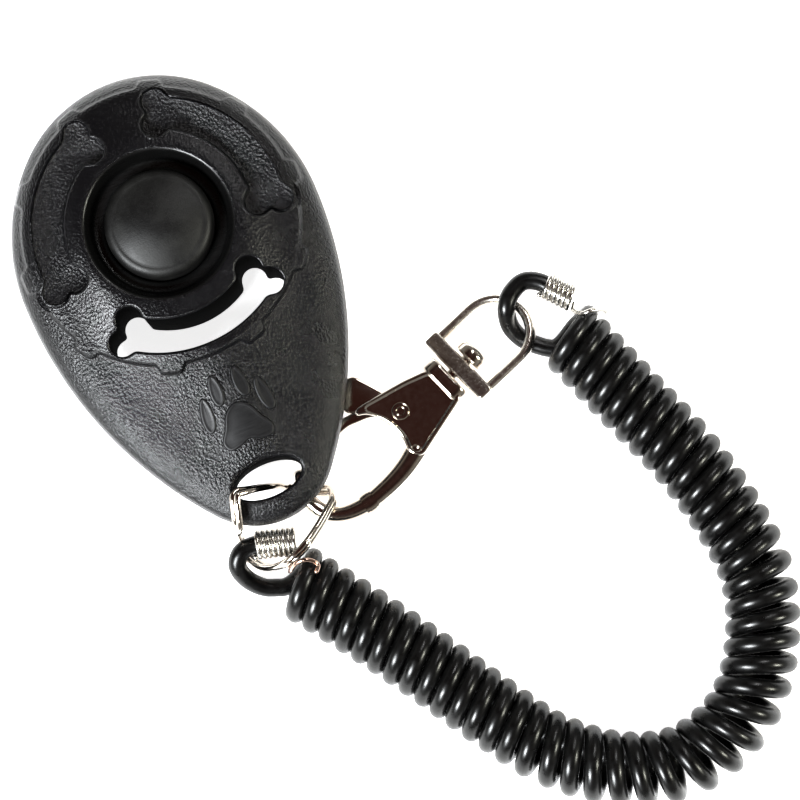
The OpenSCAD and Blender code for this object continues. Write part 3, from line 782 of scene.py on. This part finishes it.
def droop(z, degrees, turn, r):
    y = BUTTON_Y + r * np.sin(turn)
    return z + (y - HINGE_Y) * math.sin(math.radians(degrees))


TURNS = 540
TURN = TAU * np.arange(TURNS) / TURNS


def front_table():
    """Radius and height along every ray of the front shell's outer surface."""
    radii = [np.full(TURNS, CROWN_R - 1.5), np.full(TURNS, CROWN_R + 0.5)]
    heights = [np.full(TURNS, CROWN_Z), np.full(TURNS, CROWN_Z - 0.02)]
    for z, angle, amount in FRONT_SLICES:
        r = outline_radius(TURN, amount)
        radii.append(r)
        heights.append(droop(z, angle, TURN, r))
    radii.append(outline_radius(TURN, 0))
    heights.append(np.full(TURNS, PART_Z + 0.2))
    return monotone(np.array(radii), np.array(heights), 260)


def back_table():
    radii, heights = [outline_radius(TURN, 0)], [np.full(TURNS, PART_Z - 0.2)]
    for z, amount in BACK_SLICES:
        radii.append(outline_radius(TURN, amount))
        heights.append(np.full(TURNS, z))
    for z, r in BACK_DISCS:
        radii.append(np.full(TURNS, r))
        heights.append(np.full(TURNS, z))
    return monotone(np.array(radii)[::-1], np.array(heights)[::-1], 160)


FRONT_R, FRONT_Z = front_table()
BACK_R, BACK_Z = back_table()


def smoothstep(x):
    x = np.clip(x, 0, 1)
    return x * x * (3 - 2 * x)


def disc_rise(turn, r):
    """Extra height of the raised disc, whose edge has flat-topped bumps."""
    spacing = TAU / BUMP_COUNT
    off = (turn - 1.5 * math.pi) % spacing - spacing / 2
    arc = np.abs(off) * DISC_R
    edge = DISC_R + BUMP_OUT * smoothstep((BUMP_HALF + 0.6 - arc) / 1.0)
    return DISC_STEP * smoothstep((edge + DISC_EDGE / 2 - r) / DISC_EDGE)


def polar(points):
    """Angle and distance of points from the button's axis."""
    x, y = points[:, 0], points[:, 1] - BUTTON_Y
    return np.arctan2(y, x) % TAU, np.hypot(x, y)


def height(points, radii, heights):
    """Height of a shell's surface over points in the plane."""
    turn, r = polar(points)
    out = []
    for a, d in zip(turn, r):
        spot = a / TAU * TURNS
        i = int(spot) % TURNS
        j = (i + 1) % TURNS
        w = spot - int(spot)
        zi = np.interp(d, radii[:, i], heights[:, i])
        zj = np.interp(d, radii[:, j], heights[:, j])
        out.append((1 - w) * zi + w * zj)
    return np.array(out)


def front_height(points):
    return height(points, FRONT_R, FRONT_Z) + disc_rise(*polar(points))


def back_height(points):
    return height(points, BACK_R, BACK_Z)


def on_rays(r, z):
    """A ring of the case: radius and height for every ray round the button's axis."""
    r, z = np.broadcast_to(r, (TURNS,)), np.broadcast_to(z, (TURNS,))
    return np.c_[r * np.cos(TURN), BUTTON_Y + r * np.sin(TURN), z]


def front_skin():
    """The front shell as one closed grid: bore, recess, face, flank, joint face and inside."""
    recess = [
        (7.5, 10.5), (7.5, 11.6), (7.55, 11.85), (7.75, 12.0), (8.3, 12.0), (8.8, 12.03), (9.02, 12.15),
        (9.15, 12.4), (9.25, 12.9), (9.5, 13.8), (9.72, 14.45), (9.86, 14.8), (10.02, 15.04), (10.24, 15.16)]
    disc_end = 20.3
    rings = [on_rays(r, z) for r, z in recess]
    for r in np.r_[np.arange(10.5, 17.5, 0.35), np.arange(17.5, disc_end, 0.1)]:
        z = np.array([np.interp(r, FRONT_R[:, i], FRONT_Z[:, i]) for i in range(TURNS)])
        rings.append(on_rays(r, z + disc_rise(TURN, r)))
    steps = np.arange(len(FRONT_R))
    start = np.array([np.interp(disc_end, FRONT_R[:, i], steps) for i in range(TURNS)])
    for u in np.linspace(0, 1, 58)[1:]:
        at = start + (len(FRONT_R) - 1 - start) * u
        r = np.array([np.interp(at[i], steps, FRONT_R[:, i]) for i in range(TURNS)])
        z = np.array([np.interp(at[i], steps, FRONT_Z[:, i]) for i in range(TURNS)])
        rings.append(on_rays(r, z + disc_rise(TURN, r)))
    rim = outline_radius(TURN, 0)
    rings.append(on_rays(rim - 0.05, PART_Z + 0.06))
    rings.append(on_rays(rim - 0.22, PART_Z + 0.01))
    rings.append(on_rays(rim - WALL, PART_Z + 0.01))
    for amount, (z, angle, _) in ((1.9, FRONT_SLICES[3]), (3.2, FRONT_SLICES[2]), (5.2, FRONT_SLICES[1])):
        r = outline_radius(TURN, amount)
        rings.append(on_rays(r, droop(z, angle, TURN, r) - WALL))
    rings.append(on_rays(12.4, CROWN_Z - WALL - 0.8))
    rings.append(on_rays(11.2, CROWN_Z - WALL - 1.0))
    rings.append(on_rays(11.2, 10.5))
    points, faces = loft(rings, loop=True)
    return points, [f[::-1] for f in faces]


def back_outside():
    """Rings of the back shell's outer surface, from the middle of its base to its rim."""
    rows = np.unique(np.round(np.linspace(0, 1, 60) * (len(BACK_R) - 1)).astype(int))
    return [on_rays(0.2, 0.0), on_rays(7.0, 0.0)] + [on_rays(BACK_R[i], BACK_Z[i]) for i in rows]


def back_skin():
    """The back shell as one closed dish."""
    rings = back_outside()
    rim = outline_radius(TURN, 0)
    rings.append(on_rays(rim - 0.05, PART_Z - 0.06))
    rings.append(on_rays(rim - 0.22, PART_Z - 0.01))
    rings.append(on_rays(rim - WALL, PART_Z - 0.01))
    rings.append(on_rays(outline_radius(TURN, 3.4), 6.6))
    rings += [on_rays(r - 1.0, z + WALL) for z, r in BACK_DISCS]
    rings.append(on_rays(0.2, WALL))
    return loft(rings)


def back_solid():
    """All that lies inside the back shell's outer surface."""
    rim = outline_radius(TURN, 0)
    return loft(back_outside() + [on_rays(rim + 0.02, PART_Z), on_rays(0.2, PART_Z)])


def soft_min(a, b, k):
    h = np.clip(0.5 + 0.5 * (b - a) / k, 0, 1)
    return b + (a - b) * h - k * h * (1 - h)


def bone(facing):
    """Signed distance to a bone that bends round the button."""
    def distance(p):
        x, y = p[:, 0], p[:, 1] - BUTTON_Y
        angle = (np.arctan2(y, x) - facing + math.pi) % TAU - math.pi
        r = np.hypot(x, y)
        q = np.c_[r * np.cos(angle), r * np.sin(angle)]
        a = np.clip(angle, -BAND_SWEEP, BAND_SWEEP)
        out = np.hypot(q[:, 0] - BONE_R * np.cos(a), q[:, 1] - BONE_R * np.sin(a)) - BONE_HALF
        for side in (-1, 1):
            for off in (-LOBE_OFF, LOBE_OFF):
                c = (BONE_R + off) * np.array([math.cos(BONE_SWEEP), side * math.sin(BONE_SWEEP)])
                out = soft_min(out, np.hypot(*(q - c).T) - LOBE_R, 0.7)
        return out
    return distance


def oval(centre, rx, ry):
    """Signed distance to an ellipse, close to its edge."""
    def distance(p):
        q = (p - centre) / (rx, ry)
        k0 = np.hypot(q[:, 0], q[:, 1])
        k1 = np.hypot(q[:, 0] / rx, q[:, 1] / ry)
        return k0 * (k0 - 1) / k1
    return distance


def slope(distance, p):
    h = 0.01
    dx = (distance(p + (h, 0)) - distance(p - (h, 0))) / (2 * h)
    dy = (distance(p + (0, h)) - distance(p - (0, h))) / (2 * h)
    return np.c_[dx, dy]


def edge_of(distance, start, step=0.22):
    """Walks once round a shape's edge from a point near it."""
    p = np.array([start], float)
    out = []
    while True:
        for _ in range(3):
            g = slope(distance, p)
            p = p - distance(p)[:, None] * g / (g ** 2).sum()
        if len(out) > 12 and np.linalg.norm(p[0] - out[0]) < 0.8 * step:
            return counter_clockwise(np.array(out))
        out.append(p[0].copy())
        g = unit(slope(distance, p))
        p = p + step * np.c_[-g[:, 1], g[:, 0]]


def grown(distance, p, amount, steps=8):
    """Moves an edge outwards down the distance field, so that its points never cross."""
    for _ in range(steps):
        p = p + amount / steps * unit(slope(distance, p))
    return p


def lined(distance, edge, surface, lip, low, outer, floor=None):
    """The wall of an opening: a round-lipped tube, or a cup where a floor height is given.
    Its top edge follows the surface, and its outside is sunk in the shell."""
    rings = []
    if floor is None:
        rings.append(level(edge, low))
    else:
        for amount, rise in ((-0.35, 0), (-0.12, 0.07), (0, 0.35)):
            rings.append(level(grown(distance, edge, amount), floor + rise))
    for share in (0, 0.12, 0.4, 0.75, 1.0):
        drop = lip * (1 - math.sqrt(1 - (1 - share) ** 2)) - 0.035 * share
        p = grown(distance, edge, lip * share * 0.9)
        rings.append(level(p, surface(p) - drop))
    shoulder = grown(distance, edge, lip + 0.14)
    rings.append(level(shoulder, surface(shoulder) - 0.1))
    skirt = grown(distance, edge, outer)
    rings.append(level(skirt, surface(skirt) - 0.6))
    rings.append(level(skirt, low))
    points, faces = loft(rings, loop=floor is None)
    return points, [f[::-1] for f in faces]


def openings():
    """Each opening's distance field, its edge, lip radius and floor, if it is blind."""
    down = 1.5 * math.pi
    out = []
    for facing, floor in ((down, None), (math.radians(30), BONE_FLOOR), (math.radians(150), BONE_FLOOR)):
        field = bone(facing)
        start = ((BONE_R + BONE_HALF) * math.cos(facing), BUTTON_Y + (BONE_R + BONE_HALF) * math.sin(facing))
        out.append((field, edge_of(field, start), 0.4, floor))
    hole = oval((0, HOLE_Y), HOLE_RX, HOLE_RY)
    out.append((hole, edge_of(hole, (HOLE_RX, HOLE_Y)), 0.7, None))
    return out


def paw_pads():
    """A paw print in low relief: one broad pad and four toes."""
    half = [(0, -15.4), (1.6, -16.3), (2.5, -18.1), (3.5, -19.7), (2.9, -20.9), (1.3, -20.7)]
    broad = half + [(0, -20.3)] + [(-x, y) for x, y in reversed(half[1:])]
    shapes = [spline(broad, 6, closed=True)]
    for x, y, length, lean in ((4.1, -15.5, 4.6, -0.10), (1.75, -12.9, 4.1, -0.05)):
        for side in (-1, 1):
            a = np.linspace(0, TAU, 40, endpoint=False)
            along = 0.5 * length * np.cos(a)
            across = 0.78 * np.sin(a) * (1 - 0.18 * np.cos(a)) + 0.12 * (along / length) ** 2
            shapes.append(np.c_[side * (x + across + lean * along), y + along])
    edge = [(-0.22, -0.4), (-0.2, -0.02), (-0.08, 0.14), (0.05, 0.2), (0.2, 0.16), (0.4, 0.13)]
    parts = []
    for shape in shapes:
        p = counter_clockwise(evenly(shape, 0.2))
        rings = []
        for amount, rise in edge:
            q = inset(p, amount)
            rings.append(level(q, front_height(q) + rise))
        centre = q.mean(0)
        for share in (0.75, 0.5, 0.25, 0.05):
            m = centre + (q - centre) * share
            rings.append(level(m, front_height(m) + 0.13))
        parts.append(loft(rings))
    return parts


def make_front(sites):
    """The front shell, with a round-lipped wall let into each opening."""
    cuts, liners = [], []
    for field, edge, lip, floor in sites:
        wide = grown(field, edge, lip * 0.6)
        low = PART_Z + 0.01 if floor is None else floor - 1.1
        cuts.append(prism(wide, (PART_Z - 1) if floor is None else floor - 0.4, 20))
        liners.append(lined(field, edge, front_height, lip, low, lip + 0.5, floor))
    mesh = cut_and_join("front_shell", front_skin(), cuts, liners)
    mats = [CASE, FACE, RECESS, FLOOR_PLASTIC, SLOT_WALL_SHADE]
    front = finish_object("front_case", mesh, mats, "case", ["front_shell"], 40)
    sort_face_materials(front.data)


def make_back(sites):
    """The back shell, with a wall round each through opening and a pillar round each screw."""
    lift, gap = 0.5, 0.02
    solids, holes = [], []
    for x, y, seat in SCREW_SITES:
        foot = back_height(np.array([[x, y]]))[0] + 0.6
        solids.append(placed(revolve([(2.9, foot), (2.9, PART_Z - gap)], 40), (x, y, 0)))
        holes.append(placed(revolve([(2.1, -2), (2.1, seat)], 40), (x, y, 0)))
        holes.append(placed(revolve([(1.15, seat - 1), (1.15, 9)], 24), (x, y, 0)))
    through = []
    for field, edge, _, floor in sites:
        if floor is None:
            p = counter_clockwise(grown(field, edge, 0.9))
            solids.append(loft([level(p, back_height(p) + lift), level(p, PART_Z - gap)]))
            through.append(prism(edge, -3, 9))
    blank = cut_and_join("back_shell", back_skin(), [], solids, [back_solid()])
    mesh = cut_and_join("back_shell", part_of(blank), through + holes)
    back = finish_object("back_case", mesh, [CASE, SLOT_WALL_SHADE], "case", ["back_shell"], 40)
    # Painted shade: the walls of the through slot and the lanyard hole get the dead-black plastic.
    back.data.polygons.foreach_set("material_index", wall_faces(back.data).astype(np.int32))


def make_case():
    sites = openings()
    make_front(sites)
    mesh_object("paw_relief", paw_pads(), [PAD], "case", sharp=60)
    make_back(sites)


def sort_face_materials(mesh):
    """Grain by place: coarse on the flanks, finer on the disc, smooth in the recess, rough in blind slots,
    and a dead-black painted shade on the walls of the through slot and the lanyard hole.
    """
    count = len(mesh.polygons)
    middle = np.zeros(count * 3)
    mesh.polygons.foreach_get("center", middle)
    middle = middle.reshape(-1, 3) / MM
    flat = middle[:, :2]
    r = np.hypot(flat[:, 0], flat[:, 1] - BUTTON_Y)
    index = np.zeros(count, np.int32)
    index[r < DISC_R - 0.5] = 1
    index[r < 10.2] = 2
    for facing in (math.radians(30), math.radians(150)):
        inside = (bone(facing)(flat) < -0.02) & (middle[:, 2] < BONE_FLOOR + 0.5)
        index[inside] = 3
    # Painted shade: dead-black plastic on the walls of the through slot and the lanyard hole.
    index[wall_faces(mesh)] = 4
    mesh.polygons.foreach_set("material_index", index)


def wall_faces(mesh):
    """The upright faces inside the through slot and the lanyard hole, which get the painted-shade black."""
    count = len(mesh.polygons)
    middle, normal = np.zeros(count * 3), np.zeros(count * 3)
    mesh.polygons.foreach_get("center", middle)
    mesh.polygons.foreach_get("normal", normal)
    flat = middle.reshape(-1, 3)[:, :2] / MM
    upright = np.abs(normal.reshape(-1, 3)[:, 2]) < 0.3
    slot_at, hole_at = bone(1.5 * math.pi)(flat), oval((0, HOLE_Y), HOLE_RX, HOLE_RY)(flat)
    return upright & (np.minimum(slot_at, hole_at) < 0.05)


def make_button():
    """The dome, with the skirt and flange below it and the stem that presses on the click plate."""
    radius, edge_r, dome_top, edge_z = 7.35, 1.3, 16.8, 15.49
    stem_r, flange_r = 2.4, 8.7
    rim = radius - edge_r
    profile = [
        (0.02, 6.34), (stem_r - 0.1, 6.34), (stem_r, 6.45), (stem_r, 9.1), (flange_r - 0.1, 9.1),
        (flange_r, 9.2), (flange_r, 10.3), (flange_r - 0.1, 10.4), (radius, 10.4), (radius, 11.4)]
    for a in np.radians(np.arange(0, 90, 6)):
        profile.append((rim + edge_r * math.cos(a), edge_z - edge_r + edge_r * math.sin(a)))
    for u in np.linspace(1, 0.01, 20):
        profile.append((rim * u, dome_top - (dome_top - edge_z) * u * u))
    part = placed(revolve(profile, 160), (0, BUTTON_Y, 0))
    mesh_object("dome_button", [part], [BUTTON], "button", ["button"])


def make_click_plate():
    """A strip of spring steel with a dimple, held at its far end."""
    half, thick, top, y0, y1 = 5.5, 0.3, 6.3, 2.4, 27.4
    across = np.linspace(-half, half, 23)
    x = np.r_[across, across[::-1]]
    under = np.r_[across * 0, across * 0 + thick]
    rings = []
    for y in np.linspace(y0, y1, 70):
        dimple = 0.45 * smoothstep((3.2 - np.hypot(x, y - BUTTON_Y)) / 1.4)
        rings.append(np.c_[x, np.full(len(x), y), top - under - dimple])
    strip = mesh_object("click_strip", [loft(rings)], [SPRING_STEEL], None, ["click_plate"])
    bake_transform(strip)


def dress_nodes():
    """CAD nodes that stay get a finish of their own."""
    finish = {"plate_clamp": INNER, "clamp_screws": ZINC, "case_screws": ZINC}
    for node, mat in finish.items():
        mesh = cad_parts[node].data
        mesh.materials.clear()
        mesh.materials.append(mat)


# ---- stage ----
def make_floor():
    mesh = bpy.data.meshes.new("floor")
    reach = 3.0
    mesh.from_pydata([(-reach, -reach, 0), (reach, -reach, 0), (reach, reach, 0), (-reach, reach, 0)],
                     [], [(0, 1, 2, 3)])
    mat = principled("pale_floor", (0.90, 0.90, 0.90), 0.7)
    shader = mat.node_tree.nodes["Principled BSDF"]
    shader.inputs["Emission Color"].default_value = (1, 1, 1, 1)
    shader.inputs["Emission Strength"].default_value = 0.86
    mesh.materials.append(mat)
    floor = bpy.data.objects.new("floor", mesh)
    floor.location.z = -0.0001
    bpy.context.scene.collection.objects.link(floor)


def make_light(name, direction, elevation, distance, size, power, color=(1, 1, 1)):
    """A soft box that looks at the middle of the object; direction is in degrees from +X."""
    data = bpy.data.lights.new(name, "AREA")
    data.shape = "RECTANGLE"
    data.size, data.size_y = size
    data.energy = power
    data.color = color
    a, e = math.radians(direction), math.radians(elevation)
    aim = Vector((0.02, -0.023, 0.0))
    ray = Vector((math.cos(a) * math.cos(e), math.sin(a) * math.cos(e), math.sin(e)))
    light = bpy.data.objects.new(name, data)
    light.location = aim + ray * distance
    light.rotation_euler = ray.to_track_quat("Z", "Y").to_euler()
    bpy.context.scene.collection.objects.link(light)


def make_sky():
    """A studio room: pale near the horizon and dark brown overhead, which the plating mirrors."""
    world = bpy.data.worlds.new("studio")
    world.use_nodes = True
    nodes, links = world.node_tree.nodes, world.node_tree.links
    coords = nodes.new("ShaderNodeTexCoord")
    split = nodes.new("ShaderNodeSeparateXYZ")
    ramp = nodes.new("ShaderNodeValToRGB")
    stops = ramp.color_ramp.elements
    stops[0].position, stops[0].color = 0.0, (0.95, 0.93, 0.90, 1)
    stops[1].position, stops[1].color = 1.0, (0.20, 0.075, 0.055, 1)
    for place, color in ((0.4, (0.95, 0.92, 0.87)), (0.62, (0.62, 0.50, 0.42)), (0.8, (0.10, 0.05, 0.04))):
        stops.new(place).color = (*color, 1)
    links.new(coords.outputs["Generated"], split.inputs[0])
    links.new(split.outputs["Z"], ramp.inputs["Fac"])
    links.new(ramp.outputs["Color"], nodes["Background"].inputs["Color"])
    nodes["Background"].inputs["Strength"].default_value = 0.3
    bpy.context.scene.world = world


def make_stage():
    make_floor()
    make_sky()
    make_light("key", 205, 42, 0.75, (0.30, 0.24), 13.0, (0.95, 0.98, 1.0))
    make_light("strip", 40, 50, 0.8, (0.08, 0.4), 1.6)
    make_light("fill", -32, 34, 0.9, (0.2, 0.2), 5.0, (1.0, 1.0, 0.88))
    bpy.context.scene.view_settings.view_transform = "Standard"
    bpy.context.scene.view_settings.gamma = 0.82


strap, strap_line, strap_pieces = make_strap()
ring = make_ring()
clasp_pieces = make_clasp()
eye = make_eye()
gate = make_gate()
make_case()
make_button()
make_click_plate()
dress_nodes()
make_stage()
